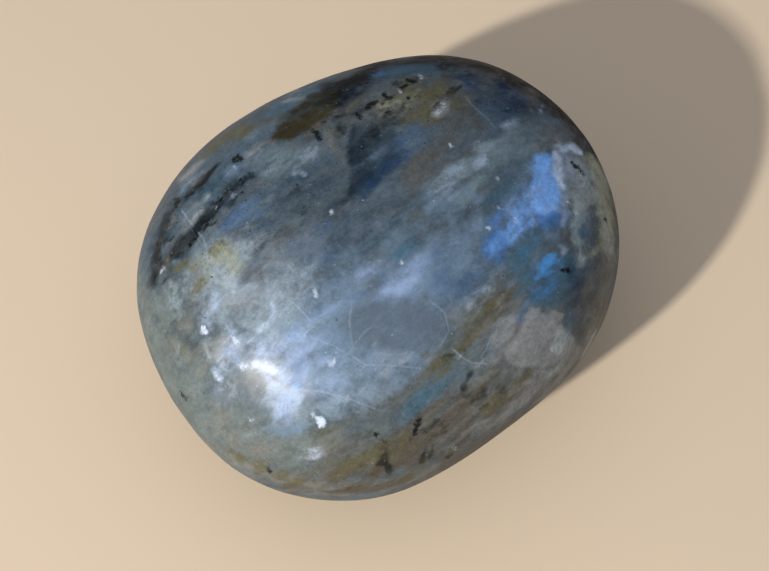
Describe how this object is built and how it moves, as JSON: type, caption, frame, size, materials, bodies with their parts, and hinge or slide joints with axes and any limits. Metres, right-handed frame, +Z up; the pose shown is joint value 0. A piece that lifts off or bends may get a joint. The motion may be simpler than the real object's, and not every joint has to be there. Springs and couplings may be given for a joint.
{
  "type": "tumbled labradorite palm stone",
  "caption": "Smooth rounded oval pebble of polished labradorite, slightly flattened, with softly worn flats and a small flat spot it rests on.",
  "frame": {"origin": "centre of the bounding box in X and Y, at the height of the flat spot the stone rests on", "axes": "+X along the stone's longest way, +Y across it, +Z up through its shortest way, away from the surface it rests on"},
  "size_m": [0.059, 0.05, 0.0354],
  "materials": {
    "polished_labradorite": "Polished grey-green labradorite: smoky and milky streaks, black fleck streaks, olive and teal tints and patches of blue flash under a clear polish"
  },
  "bodies": {
    "root": {"labradorite_stone": "polished_labradorite"}
  },
  "joints": []
}
